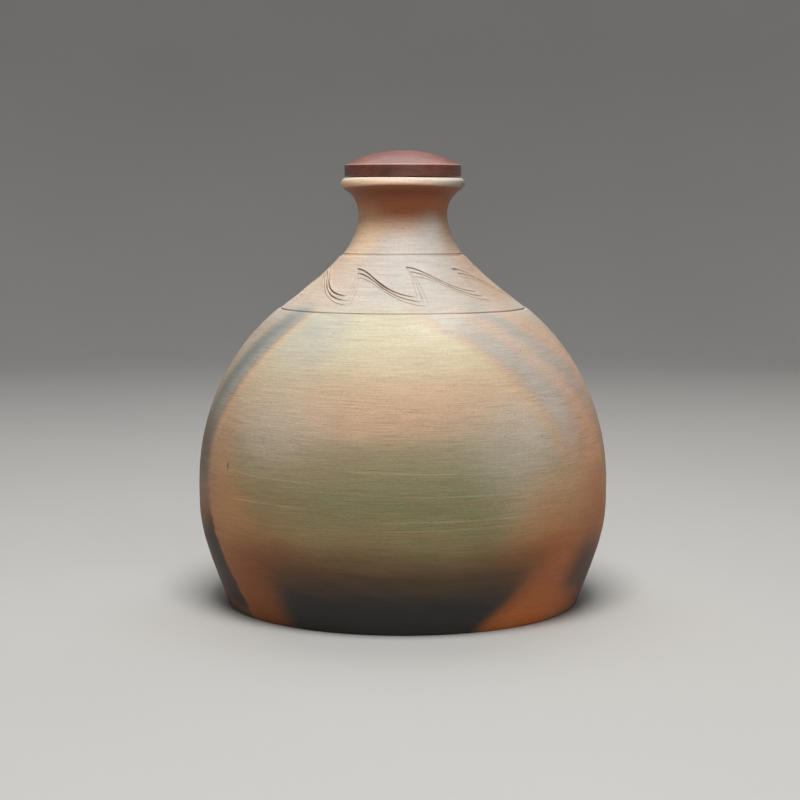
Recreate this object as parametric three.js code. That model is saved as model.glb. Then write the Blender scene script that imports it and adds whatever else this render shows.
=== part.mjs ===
// Round-bellied sake bottle of unglazed stoneware with a turned wooden stopper lid.
//
// Millimetres, +Z up. The origin is the centre of the flat base, so the bottle stands
// on the plane z = 0 and its turning axis is the Z axis.
//
// Every piece is turned about that axis. Its outline is a list of (radius, height)
// points that starts and ends on the axis, or closes on itself for a ring.

import * as THREE from 'three';

// ---- bottle, outside -------------------------------------------------------
const FOOT_RADIUS = 71.6;
const FOOT_ROUNDING = 0.8;
const BELLY_RADIUS = 83;
const BELLY_HEIGHT = 48.6;

const LOWER_GROOVE_RADIUS = 49.8;
const LOWER_GROOVE_HEIGHT = 119.2;
const LOWER_GROOVE_LEAN = 37;
const UPPER_GROOVE_RADIUS = 24.7;
const UPPER_GROOVE_HEIGHT = 140.6;
const UPPER_GROOVE_LEAN = 47;
const GROOVE_HALF_WIDTH = 0.6;
const GROOVE_DEPTH = 0.8;

const NECK_TOP_RADIUS = 23.4;
const NECK_TOP_HEIGHT = 166.6;
const LIP_RADIUS = 25.1;
const LIP_HEIGHT = 171.45;
const LIP_BEAD_RADIUS = 2.3;

// Handles of the outside curves, as [radius, height], in the order they are met
// going up from the foot.
const FOOT_HANDLE = [BELLY_RADIUS, 29];
const BELLY_LOW_HANDLE = [BELLY_RADIUS, BELLY_HEIGHT - 14.7];
const BELLY_HIGH_HANDLE = [BELLY_RADIUS, BELLY_HEIGHT + 34.9];
const BELLY_TOP_HANDLE = [65.3, 107.2];
const SHOULDER_LOW_HANDLE = [38.3, 128.1];
const SHOULDER_HIGH_HANDLE = [33.3, 131.3];
const NECK_LOW_HANDLE = [19.8, 146.2];
const NECK_HIGH_HANDLE = [13.2, 160.3];

// ---- bottle, inside --------------------------------------------------------
const WALL = 4.8;
const FLOOR_THICKNESS = 7;
const FLOOR_RADIUS = 60;
const FLOOR_CORNER_TOP = [72.6, 16];
const FLOOR_HANDLE = [67, 7];
const FLOOR_CORNER_HANDLE = [70, 9];

const THROAT_RADIUS = 13.2;
const THROAT_BOTTOM = 149;
const THROAT_TOP = 161;
const NECK_ROOT_HANDLE = [17.5, 141.5];
const THROAT_LOW_HANDLE = [THROAT_RADIUS, 144.5];
const THROAT_HIGH_HANDLE = [THROAT_RADIUS, 165];
const MOUTH_RADIUS = 20.6;
const MOUTH_ROUNDING = 1;
const MOUTH_HANDLE = [18.4, 168.4];

// ---- lid -------------------------------------------------------------------
const LID_RADIUS = 23.5;
const LID_BAND_TOP = 176.6;
const LID_TOP = 182.5;
const LID_CHAMFER = 0.5;
const LID_EDGE_BREAK = 0.25;
const LID_REST_GAP = 0.4;

// ---- plug under the lid ----------------------------------------------------
const PLUG_RADIUS = 12.4;
const PLUG_BOTTOM = 147.5;
const PLUG_CHAMFER = 1.2;
const PLUG_JOINT_GAP = 0.3;

// ---- sealing rings and their seats in the plug -----------------------------
const RING_HEIGHTS = { seal_ring_lower: 152.4, seal_ring_upper: 158.4 };
const RING_HALF_HEIGHT = 1;
const RING_CREST_HALF_HEIGHT = 0.35;
const RING_INNER_RADIUS = 11.3;
const RING_OUTER_RADIUS = 12.9;
const RING_SEAT_HALF_HEIGHT = 1.3;
const RING_SEAT_RADIUS = 11;

// ---- dowel that joins the plug to the lid ----------------------------------
const DOWEL_RADIUS = 4;
const DOWEL_BOTTOM = 162;
const DOWEL_TOP = 177;
const DOWEL_CHAMFER = 0.5;
const GLUE_GAP = 0.2;

// ---- facets round the axis -------------------------------------------------
const BOTTLE_FACETS = 60;
const LID_FACETS = 44;
const RING_FACETS = 40;
const DOWEL_FACETS = 24;

// ---- surfaces --------------------------------------------------------------
const FIRED_CLAY = { color: 0xb08a68, roughness: 0.5 };
const RED_BROWN_WOOD = { color: 0x6a3a2e, roughness: 0.4 };
const PALE_WOOD = { color: 0xb79868, roughness: 0.6 };
const SILICONE = { color: 0xd8d4c8, roughness: 0.6 };

const point = (radius, height) => new THREE.Vector2(radius, height);

// A smooth curve from one point to another, pulled by two handles.
function sweep(start, startHandle, endHandle, end) {
  return new THREE.CubicBezierCurve(
    start,
    point(...startHandle),
    point(...endHandle),
    end,
  );
}

// Points along a circular arc; angles in degrees up from the outward direction.
function arc(centreRadius, centreHeight, radius, fromDegrees, toDegrees, steps) {
  const points = [];
  for (let i = 0; i <= steps; i += 1) {
    const angle = THREE.MathUtils.degToRad(
      fromDegrees + ((toDegrees - fromDegrees) * i) / steps,
    );
    points.push(point(
      centreRadius + radius * Math.cos(angle),
      centreHeight + radius * Math.sin(angle),
    ));
  }
  return points;
}

// Points along a rising curve's inner face, one wall thickness in, square to the curve.
function insideOf(curve, steps) {
  const points = [];
  for (let i = 0; i <= steps; i += 1) {
    const outer = curve.getPoint(i / steps);
    const along = curve.getTangent(i / steps);
    points.push(point(outer.x - along.y * WALL, outer.y + along.x * WALL));
  }
  return points;
}

// A shallow V turned into a wall that leans inwards by some degrees as it rises.
function groove(radius, height, leanDegrees) {
  const lean = THREE.MathUtils.degToRad(leanDegrees);
  const run = GROOVE_HALF_WIDTH * Math.cos(lean);
  const rise = GROOVE_HALF_WIDTH * Math.sin(lean);
  const inwards = GROOVE_DEPTH * Math.sin(lean);
  const downwards = GROOVE_DEPTH * Math.cos(lean);
  return [
    point(radius + run, height - rise),
    point(radius - inwards, height - downwards),
    point(radius - run, height + rise),
  ];
}

// Turn an outline about the Z axis. Points that repeat their neighbour are dropped.
function turned(name, outline, facets, surface) {
  const samePoint = 1e-4;
  const points = outline.filter(
    (here, i) => i === 0 || here.distanceTo(outline[i - 1]) > samePoint,
  );
  const geometry = new THREE.LatheGeometry(points, facets);
  geometry.rotateX(Math.PI / 2);
  const material = new THREE.MeshStandardMaterial({ ...surface, metalness: 0 });
  const mesh = new THREE.Mesh(geometry, material);
  mesh.name = name;
  return mesh;
}

// ---- bottle ----------------------------------------------------------------
const lowerGroove = groove(LOWER_GROOVE_RADIUS, LOWER_GROOVE_HEIGHT, LOWER_GROOVE_LEAN);
const upperGroove = groove(UPPER_GROOVE_RADIUS, UPPER_GROOVE_HEIGHT, UPPER_GROOVE_LEAN);

const footCorner = arc(
  FOOT_RADIUS - FOOT_ROUNDING,
  FOOT_ROUNDING,
  FOOT_ROUNDING,
  -90,
  0,
  2,
);
const footWall = sweep(
  point(FOOT_RADIUS, FOOT_ROUNDING),
  FOOT_HANDLE,
  BELLY_LOW_HANDLE,
  point(BELLY_RADIUS, BELLY_HEIGHT),
);
const bellyWall = sweep(
  point(BELLY_RADIUS, BELLY_HEIGHT),
  BELLY_HIGH_HANDLE,
  BELLY_TOP_HANDLE,
  lowerGroove[0],
);
const shoulderWall = sweep(
  lowerGroove[2],
  SHOULDER_LOW_HANDLE,
  SHOULDER_HIGH_HANDLE,
  upperGroove[0],
);
const neckWall = sweep(
  upperGroove[2],
  NECK_LOW_HANDLE,
  NECK_HIGH_HANDLE,
  point(NECK_TOP_RADIUS, NECK_TOP_HEIGHT),
);
const lipBead = arc(
  LIP_RADIUS - LIP_BEAD_RADIUS,
  LIP_HEIGHT - LIP_BEAD_RADIUS,
  LIP_BEAD_RADIUS,
  -60,
  90,
  6,
);

const floorCorner = sweep(
  point(FLOOR_RADIUS, FLOOR_THICKNESS),
  FLOOR_HANDLE,
  FLOOR_CORNER_HANDLE,
  point(...FLOOR_CORNER_TOP),
);
const insideFoot = insideOf(footWall, 6).filter((here) => here.y > floorCorner.v3.y + 1);
const insideShoulder = insideOf(shoulderWall, 3);
const neckRoot = sweep(
  insideShoulder[insideShoulder.length - 1],
  NECK_ROOT_HANDLE,
  THROAT_LOW_HANDLE,
  point(THROAT_RADIUS, THROAT_BOTTOM),
);
const mouthFlare = sweep(
  point(THROAT_RADIUS, THROAT_TOP),
  THROAT_HIGH_HANDLE,
  MOUTH_HANDLE,
  point(MOUTH_RADIUS, LIP_HEIGHT - MOUTH_ROUNDING),
);

const bottleOutside = [
  point(0, 0),
  ...footCorner,
  ...footWall.getPoints(8),
  ...bellyWall.getPoints(11),
  ...lowerGroove,
  ...shoulderWall.getPoints(5),
  ...upperGroove,
  ...neckWall.getPoints(9),
  ...lipBead,
];
const bottleInside = [
  point(0, FLOOR_THICKNESS),
  ...floorCorner.getPoints(3),
  ...insideFoot,
  ...insideOf(bellyWall, 8),
  ...insideShoulder,
  ...neckRoot.getPoints(4),
  ...mouthFlare.getPoints(4),
];
const bottleBody = turned(
  'bottle_body',
  [...bottleOutside, ...bottleInside.reverse()],
  BOTTLE_FACETS,
  FIRED_CLAY,
);

// ---- lid cap ---------------------------------------------------------------
const lidUnderside = LIP_HEIGHT + LID_REST_GAP;
const socketRadius = DOWEL_RADIUS + GLUE_GAP;
const socketTop = DOWEL_TOP + GLUE_GAP;

const domeRise = LID_TOP - LID_BAND_TOP;
const domeRadius = (LID_RADIUS ** 2 + domeRise ** 2) / (2 * domeRise);
const domeEdgeDegrees = THREE.MathUtils.radToDeg(
  Math.acos((LID_RADIUS - LID_EDGE_BREAK) / domeRadius),
);

const lidCap = turned(
  'lid_cap',
  [
    point(0, socketTop),
    point(socketRadius, socketTop),
    point(socketRadius, lidUnderside),
    point(LID_RADIUS - LID_CHAMFER, lidUnderside),
    point(LID_RADIUS, lidUnderside + LID_CHAMFER),
    point(LID_RADIUS, LID_BAND_TOP - LID_EDGE_BREAK),
    ...arc(0, LID_TOP - domeRadius, domeRadius, domeEdgeDegrees, 90, 8),
  ],
  LID_FACETS,
  RED_BROWN_WOOD,
);

// ---- plug ------------------------------------------------------------------
const plugTop = lidUnderside - PLUG_JOINT_GAP;
const socketBottom = DOWEL_BOTTOM - GLUE_GAP;

function ringSeat(height) {
  return [
    point(PLUG_RADIUS, height - RING_SEAT_HALF_HEIGHT),
    point(RING_SEAT_RADIUS, height - RING_SEAT_HALF_HEIGHT),
    point(RING_SEAT_RADIUS, height + RING_SEAT_HALF_HEIGHT),
    point(PLUG_RADIUS, height + RING_SEAT_HALF_HEIGHT),
  ];
}

const stopperPlug = turned(
  'stopper_plug',
  [
    point(0, PLUG_BOTTOM),
    point(PLUG_RADIUS - PLUG_CHAMFER, PLUG_BOTTOM),
    point(PLUG_RADIUS, PLUG_BOTTOM + PLUG_CHAMFER),
    ...ringSeat(RING_HEIGHTS.seal_ring_lower),
    ...ringSeat(RING_HEIGHTS.seal_ring_upper),
    point(PLUG_RADIUS, plugTop),
    point(socketRadius, plugTop),
    point(socketRadius, socketBottom),
    point(0, socketBottom),
  ],
  LID_FACETS,
  PALE_WOOD,
);

// ---- dowel -----------------------------------------------------------------
const stopperDowel = turned(
  'stopper_dowel',
  [
    point(0, DOWEL_BOTTOM),
    point(DOWEL_RADIUS - DOWEL_CHAMFER, DOWEL_BOTTOM),
    point(DOWEL_RADIUS, DOWEL_BOTTOM + DOWEL_CHAMFER),
    point(DOWEL_RADIUS, DOWEL_TOP - DOWEL_CHAMFER),
    point(DOWEL_RADIUS - DOWEL_CHAMFER, DOWEL_TOP),
    point(0, DOWEL_TOP),
  ],
  DOWEL_FACETS,
  PALE_WOOD,
);

// ---- sealing rings ---------------------------------------------------------
function sealRing(name, height) {
  return turned(
    name,
    [
      point(RING_INNER_RADIUS, height - RING_HALF_HEIGHT),
      point(PLUG_RADIUS, height - RING_HALF_HEIGHT),
      point(RING_OUTER_RADIUS, height - RING_CREST_HALF_HEIGHT),
      point(RING_OUTER_RADIUS, height + RING_CREST_HALF_HEIGHT),
      point(PLUG_RADIUS, height + RING_HALF_HEIGHT),
      point(RING_INNER_RADIUS, height + RING_HALF_HEIGHT),
      point(RING_INNER_RADIUS, height - RING_HALF_HEIGHT),
    ],
    RING_FACETS,
    SILICONE,
  );
}

// ---- assembly --------------------------------------------------------------
const lid = new THREE.Group();
lid.name = 'stopper_lid';
lid.add(lidCap, stopperPlug, stopperDowel);
for (const [name, height] of Object.entries(RING_HEIGHTS)) {
  lid.add(sealRing(name, height));
}

const bottle = new THREE.Group();
bottle.name = 'sake_bottle';
bottle.add(bottleBody, lid);

export default bottle;
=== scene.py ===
"""Looks of the stoneware sake bottle: clay with fire marks, a combed wave band, and a turned lid.

Lengths are written in millimetres and turned into metres where a mesh is made.
The front of the bottle faces -Y, and azimuth is counted from the front towards +X.
"""

import math

import bmesh
import bpy
import numpy as np
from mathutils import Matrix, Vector
from mathutils.geometry import delaunay_2d_cdt


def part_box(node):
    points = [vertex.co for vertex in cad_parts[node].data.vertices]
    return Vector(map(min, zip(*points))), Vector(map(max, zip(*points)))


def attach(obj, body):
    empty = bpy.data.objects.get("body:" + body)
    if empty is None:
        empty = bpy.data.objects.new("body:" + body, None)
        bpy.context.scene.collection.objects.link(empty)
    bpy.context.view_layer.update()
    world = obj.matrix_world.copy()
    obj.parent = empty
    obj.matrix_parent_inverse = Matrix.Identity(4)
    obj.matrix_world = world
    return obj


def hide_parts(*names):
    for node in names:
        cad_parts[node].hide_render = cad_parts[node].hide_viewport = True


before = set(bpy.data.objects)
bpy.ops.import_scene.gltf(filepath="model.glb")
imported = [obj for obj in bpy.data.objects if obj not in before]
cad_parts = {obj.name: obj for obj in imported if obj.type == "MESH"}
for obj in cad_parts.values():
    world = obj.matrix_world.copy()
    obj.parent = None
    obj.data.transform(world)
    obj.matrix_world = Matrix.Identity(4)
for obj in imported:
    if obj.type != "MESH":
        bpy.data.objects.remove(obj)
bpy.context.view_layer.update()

MM = 0.001

# ---- sizes taken from the frame ---------------------------------------------
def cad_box(node):
    """The lowest and highest corners of a CAD node, in millimetres."""
    return [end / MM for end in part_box(node)]


RING_NODES = ["seal_ring_lower", "seal_ring_upper"]
BODY_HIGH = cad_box("bottle_body")[1]
CAP_LOW, CAP_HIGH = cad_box("lid_cap")
PLUG_LOW, PLUG_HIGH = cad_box("stopper_plug")
DOWEL_LOW, DOWEL_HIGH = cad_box("stopper_dowel")
RING_HEIGHTS = [(low.z + high.z) / 2 for low, high in map(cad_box, RING_NODES)]
BELLY_RADIUS = BODY_HIGH.x
LIP_HEIGHT = BODY_HIGH.z
LID_RADIUS = CAP_HIGH.x
PLUG_RADIUS = PLUG_HIGH.x
DOWEL_RADIUS = DOWEL_HIGH.x

# ---- sizes of the bottle's outline, as on the drawing -------------------------
FOOT_RADIUS = 71.6
FOOT_ROUNDING = 0.8
BELLY_HEIGHT = 48.6
BELLY_TOP = (50.7, 118.8)
SHOULDER_LOW = (49.5, 119.3)
SHOULDER_HIGH = (25.5, 140.1)
NECK_LOW = (24.5, 140.5)
NECK_TOP = (23.4, 166.6)
LIP_BEAD_RADIUS = 2.3
LIP_CENTRE = (22.8, LIP_HEIGHT - LIP_BEAD_RADIUS)
WALL = 4.8
FLOOR_THICKNESS = 7.0
THROAT_RADIUS = 13.2
THROAT_LOW = 149.0
THROAT_HIGH = 161.0
MOUTH = (20.6, LIP_HEIGHT - 1.3)

# ---- sizes of the lid, as on the drawing ------------------------------------------
LID_BAND_TOP = 176.6
RING_SEAT_HALF_HEIGHT = 1.3
RING_SEAT_RADIUS = 11.0
RING_INNER_RADIUS = 11.3
GLUE_GAP = 0.2

# ---- turned and combed decoration ---------------------------------------------
LOWER_GROOVE_HEIGHT = 119.35
UPPER_GROOVE_HEIGHT = 141.1
BAND_LOW = 120.9
BAND_HIGH = 139.3
COMB_HALF_WIDTH = 0.3
COMB_DEPTH = 0.62
COMB_BURR = 0.22

SEGMENTS = 200
SEED = 20
SCRATCHES = 6


# ================================================================== outlines
def bezier(start, handle_a, handle_b, end, steps):
    """Points along a curve from start to end, pulled by its two handles."""
    t = np.linspace(0, 1, steps + 1)[:, None]
    p = [np.array(v, float) for v in (start, handle_a, handle_b, end)]
    return (
        (1 - t) ** 3 * p[0]
        + 3 * (1 - t) ** 2 * t * p[1]
        + 3 * (1 - t) * t**2 * p[2]
        + t**3 * p[3]
    )


def arc(centre, radius, from_degrees, to_degrees, steps):
    """Points along an arc; angles count up from the outward direction."""
    a = np.radians(np.linspace(from_degrees, to_degrees, steps + 1))
    return np.stack([centre[0] + radius * np.cos(a), centre[1] + radius * np.sin(a)], -1)


class Outline:
    """A turned outline, followed by its length from its first point."""

    def __init__(self, points, step=0.05):
        points = np.asarray(points, float)
        gaps = np.hypot(*np.diff(points, axis=0).T)
        points = points[np.concatenate([[True], gaps > 1e-6])]
        lengths = np.concatenate([[0], np.cumsum(np.hypot(*np.diff(points, axis=0).T))])
        self.length = lengths[-1]
        self.s = np.linspace(0, self.length, int(self.length / step) + 1)
        self.r = np.interp(self.s, lengths, points[:, 0])
        self.z = np.interp(self.s, lengths, points[:, 1])
        dr = np.gradient(self._smoothed(self.r), self.s)
        dz = np.gradient(self._smoothed(self.z), self.s)
        size = np.hypot(dr, dz)
        self.nr = dz / size
        self.nz = -dr / size

    @staticmethod
    def _smoothed(values, reach=6):
        padded = np.pad(values, reach, mode="reflect", reflect_type="odd")
        return np.convolve(padded, np.ones(2 * reach + 1) / (2 * reach + 1), "valid")

    def at(self, s):
        """Radius, height and the two parts of the outward normal at each length s."""
        return [np.interp(s, self.s, line) for line in (self.r, self.z, self.nr, self.nz)]

    def where(self, height, outside=True):
        """The length at which the outside wall passes a height."""
        top = int(np.argmax(self.z))
        wall = slice(0, top) if outside else slice(top, None)
        z = self.z[wall] if outside else self.z[wall][::-1]
        s = self.s[wall] if outside else self.s[wall][::-1]
        return float(np.interp(height, z, s))


def set_in(points, distance):
    """The curve moved towards the axis, square to itself."""
    along = np.gradient(points, axis=0)
    along /= np.linalg.norm(along, axis=1, keepdims=True)
    return points + distance * np.stack([-along[:, 1], along[:, 0]], -1)


def bottle_outline():
    """The bottle's outline: base, outside, over the lip, inside, floor."""
    foot = bezier(
        (FOOT_RADIUS, FOOT_ROUNDING),
        (BELLY_RADIUS, 29),
        (BELLY_RADIUS, BELLY_HEIGHT - 14.7),
        (BELLY_RADIUS, BELLY_HEIGHT),
        60,
    )
    belly = bezier(
        (BELLY_RADIUS, BELLY_HEIGHT),
        (BELLY_RADIUS, BELLY_HEIGHT + 34.9),
        (65.3, 107.2),
        BELLY_TOP,
        80,
    )
    shoulder = bezier(SHOULDER_LOW, (38.3, 128.1), (33.3, 131.3), SHOULDER_HIGH, 50)
    neck = bezier(NECK_LOW, (19.8, 146.2), (13.2, 160.3), NECK_TOP, 60)
    inside_belly = set_in(np.concatenate([foot[22:], belly[1:]]), WALL)
    inside_shoulder = set_in(shoulder[:42], WALL)
    floor_corner = bezier((60, 7), (67, 7), (70, 9), inside_belly[0], 16)
    neck_root = bezier(
        inside_shoulder[-1],
        (17.5, 141.5),
        (THROAT_RADIUS, 144.5),
        (THROAT_RADIUS, THROAT_LOW),
        30,
    )
    mouth = bezier(
        (THROAT_RADIUS, THROAT_HIGH), (THROAT_RADIUS, 165), (18.4, 168.2), MOUTH, 30
    )
    inside = [
        [(0, FLOOR_THICKNESS)],
        floor_corner,
        inside_belly,
        inside_shoulder,
        neck_root,
        mouth,
    ]
    outside = [
        [(0, 0)],
        arc((FOOT_RADIUS - FOOT_ROUNDING, FOOT_ROUNDING), FOOT_ROUNDING, -90, 0, 8),
        foot,
        belly,
        shoulder,
        neck,
        arc(LIP_CENTRE, LIP_BEAD_RADIUS, -58, 128, 40),
    ]
    return Outline(np.concatenate(outside + [np.concatenate(inside)[::-1]]))


# =========================================================== combed wave band
# A plain combed wave of even pitch, with the small unevenness of a hand: long falls that
# bite hard, and shorter rises that lean back and are only brushed.
WAVES = 9
WAVE_CREST = 136.2
WAVE_FOOT = 126.4
WAVE_LEAN = 6.0
WAVE_UNEVENNESS = 0.8
RISE_BOW = 1.8
RISE_BITE = 0.3
TOOTH_BITES = (0.95, 0.7, 0.45)
TOOTH_TURN = 2.6
TOOTH_DROP = 1.7


def comb_strokes(outline):
    """Each stroke as rows of azimuth in radians, length up the outline, and bite."""
    rng = np.random.default_rng(SEED + 1)
    low = outline.where(BAND_LOW) + 0.9
    high = outline.where(BAND_HIGH) - 0.9
    crest_azimuths = 360 / WAVES * np.arange(WAVES) + rng.uniform(-2.5, 2.5, WAVES)
    crest_azimuths = np.append(crest_azimuths, crest_azimuths[0] + 360)
    crests = WAVE_CREST + WAVE_UNEVENNESS * rng.uniform(-1, 1, WAVES)
    crests = np.append(crests, crests[0])
    along = np.linspace(0, 1, 60)
    falling = 0.5 + 0.5 * np.cos(np.pi * along)
    fade = np.clip(along / 0.06 + 0.2, 0, 1) * np.clip((1 - along) / 0.14 + 0.3, 0, 1)
    knots = np.linspace(0, 1, 9)
    strokes = []
    for wave in range(WAVES):
        start = crest_azimuths[wave]
        end = crest_azimuths[wave + 1] + WAVE_LEAN
        foot = WAVE_FOOT + WAVE_UNEVENNESS * rng.uniform(-1, 1)
        fall_way = start + (end - start) * along
        fall_height = foot + (crests[wave] - foot) * falling
        rise_way = end - WAVE_LEAN * along + RISE_BOW * np.sin(np.pi * along)
        rise_height = foot + (crests[wave + 1] - foot) * (1 - falling)
        for number, bite in enumerate(TOOTH_BITES):
            for way, height, press in (
                (fall_way, fall_height, bite),
                (rise_way, rise_height, RISE_BITE),
            ):
                unsteady = np.interp(along, knots, rng.uniform(0.7, 1.15, len(knots)))
                azimuth = np.radians(way + number * TOOTH_TURN)
                length = np.array([outline.where(h) for h in height - number * TOOTH_DROP])
                length = np.clip(length, low, high)
                strokes.append(np.stack([azimuth, length, press * unsteady * fade], -1))
    return strokes


def wrapped(angle):
    return (angle + np.pi) % (2 * np.pi) - np.pi


def furrow(offset, half_width, depth, burr):
    """Height across a furrow: a rounded trough with a raised edge on each side."""
    x = np.abs(offset) / half_width
    trough = -depth * np.clip(1 - x**2, 0, None) ** 1.5
    ridge = burr * np.exp(-(((x - 1.3) / 0.45) ** 2))
    return trough, ridge


def comb_relief(theta, s, r, comb):
    """Height that the comb leaves at points of the band."""
    trough = np.zeros_like(theta)
    ridge = np.zeros_like(theta)
    bins = 120
    margin = np.radians(3)
    which = np.floor((wrapped(theta) + np.pi) / (2 * np.pi) * bins).astype(int) % bins
    for stroke in comb:
        a, b = stroke[:-1], stroke[1:]
        middle = (a[:, 0] + b[:, 0]) / 2
        for k in range(bins):
            here = np.nonzero(which == k)[0]
            centre = (k + 0.5) / bins * 2 * np.pi - np.pi
            near = np.abs(wrapped(middle - centre)) < np.pi / bins + margin
            if not len(here) or not near.any():
                continue
            radius = r[here, None]
            ax = wrapped(a[None, near, 0] - theta[here, None]) * radius
            bx = wrapped(b[None, near, 0] - theta[here, None]) * radius
            ay = a[None, near, 1] - s[here, None]
            by = b[None, near, 1] - s[here, None]
            dx, dy = bx - ax, by - ay
            t = np.clip(-(ax * dx + ay * dy) / (dx**2 + dy**2 + 1e-12), 0, 1)
            gap = np.hypot(ax + t * dx, ay + t * dy)
            nearest = gap.argmin(axis=1)
            rows = np.arange(len(here))
            push = a[near, 2][nearest] + t[rows, nearest] * (
                b[near, 2][nearest] - a[near, 2][nearest]
            )
            width = COMB_HALF_WIDTH * (0.62 + 0.7 * push)
            low, high = furrow(gap[rows, nearest], width, COMB_DEPTH * push, COMB_BURR * push)
            trough[here] = np.minimum(trough[here], low)
            ridge[here] = np.maximum(ridge[here], high)
    return trough + ridge * np.exp(trough / 0.04)


class Bottle:
    """The thrown bottle's surface: its outline plus everything that the potter left on it."""

    def __init__(self):
        self.outline = bottle_outline()
        o = self.outline
        self.lower_groove = o.where(LOWER_GROOVE_HEIGHT)
        self.upper_groove = o.where(UPPER_GROOVE_HEIGHT)
        self.foot = o.where(FOOT_ROUNDING)
        self.band = (o.where(BAND_LOW), o.where(BAND_HIGH))
        self.lip = o.s[int(np.argmax(o.z))]
        self.throat = o.where(THROAT_HIGH, outside=False)
        self.strokes = comb_strokes(o)

    def turned_lines(self, theta, s):
        """The two turned grooves and the finer lines that go with them."""
        sway = 0.16 * np.sin(theta + 1.1) + 0.07 * np.sin(3 * theta + 0.4)
        height = np.zeros_like(s)
        for centre, half_width, depth, burr in (
            (self.lower_groove, 0.42, 0.5, 0.08),
            (self.lower_groove + 1.9, 0.25, 0.07, 0.03),
            (self.upper_groove, 0.36, 0.26, 0.14),
        ):
            trough, ridge = furrow(s - centre - sway, half_width, depth, burr)
            height += trough + ridge
        return height

    def throwing(self, theta, s):
        """Slow swells left by the potter's fingers; stronger inside than outside."""
        spiral = theta * 0.6
        outside = (
            0.014 * np.sin(2 * np.pi * s / 4.3 + spiral)
            + 0.02 * np.sin(2 * np.pi * s / 9.7 + 1.7 * np.sin(theta) + 0.8)
            + 0.008 * np.sin(2 * np.pi * s / 2.9 + 2.1 * np.sin(theta + 1.0))
        )
        inside = 0.3 * np.sin(2 * np.pi * s / 6.5 + theta)
        rises = np.clip((s - self.foot - 2) / 6, 0, 1)
        calm = 1 - 0.7 * np.clip((s - self.upper_groove) / 4, 0, 1)
        over_lip = np.clip((s - self.lip) / 3, 0, 1)
        below_throat = np.clip((s - self.throat - 14) / 12, 0, 1)
        return outside * rises * calm * (1 - over_lip) + inside * below_throat

    def underside(self, theta, s):
        """The base is turned slightly hollow, with the trimming tool's spiral in it."""
        inside = np.clip((62.5 - s) / 3, 0, 1)
        inside = inside * inside * (3 - 2 * inside)
        spiral = 0.5 + 0.5 * np.sin(2 * np.pi * s / 7.8 - theta)
        return -inside * (0.55 + 0.13 * spiral * np.clip(s / 9, 0, 1))

    def points(self, theta, s, combed=False):
        """Rows of surface points given by azimuth and length: position in millimetres,
        and how far the point is scored into the surface or stands up as burr."""
        theta, s = np.broadcast_arrays(np.asarray(theta, float), np.asarray(s, float))
        r, z, nr, nz = self.outline.at(s)
        upright = np.clip((s - self.foot - 2) / 10, 0, 1) * (s < self.lip)
        lines = self.turned_lines(theta, s)
        fades = 0.75 + 0.25 * np.sin(2 * theta - 0.9)
        scored = np.clip(-0.55 * lines * fades / COMB_DEPTH, -0.2, 0.5)
        if combed:
            relief = comb_relief(theta, s, r, self.strokes)
            scored = np.where(np.abs(relief) > 0.01, np.clip(-relief / COMB_DEPTH, -1, 1), scored)
            lines = lines + relief
        height = self.throwing(theta, s) + self.underside(theta, s) + lines
        height += upright * 0.12 * np.cos(2 * theta + 0.7)
        r = r + nr * height
        z = z + nz * height
        return np.stack([r * np.sin(theta), -r * np.cos(theta), z, scored], -1)


# ===================================================================== meshes
def spaced(start, stop, step):
    """Lengths from start to stop, about one step apart."""
    return np.linspace(start, stop, max(2, int(round((stop - start) / step)) + 1))


def ring_lengths(bottle):
    """The rings of the bottle's mesh below and above the combed band: close where the
    outline turns sharply."""
    o = bottle.outline
    groove_reach = 1.5
    low, high = bottle.band
    base = np.concatenate([spaced(2.2, 59, 2.2), [60.3, 61.4, 62.6, 64.5, 67, 69.5]])
    below = np.concatenate(
        [
            base,
            spaced(bottle.foot - 1.3, bottle.foot, 0.16),
            spaced(bottle.foot, bottle.lower_groove - groove_reach, 1.7)[1:],
            spaced(bottle.lower_groove - groove_reach, low, 0.16)[1:],
        ]
    )
    neck_start = bottle.upper_groove + groove_reach
    above = np.concatenate(
        [
            spaced(high, neck_start, 0.16),
            spaced(neck_start, bottle.lip - 5.2, 0.9)[1:],
            spaced(bottle.lip - 5.2, bottle.lip + 3.2, 0.35)[1:],
            spaced(bottle.lip + 3.2, bottle.throat + 30, 1.8)[1:],
            spaced(bottle.throat + 30, o.length - 60, 2.8)[1:],
            spaced(o.length - 60, o.length - 4, 7)[1:],
        ]
    )
    return below, above


def grid(rows, columns):
    """Quads over a closed ring of columns, with their first vertex at 0."""
    i, j = np.meshgrid(np.arange(rows - 1), np.arange(columns), indexing="ij")
    k = (j + 1) % columns
    quads = np.stack(
        [i * columns + j, i * columns + k, (i + 1) * columns + k, (i + 1) * columns + j], -1
    )
    return quads.reshape(-1, 4)


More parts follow.
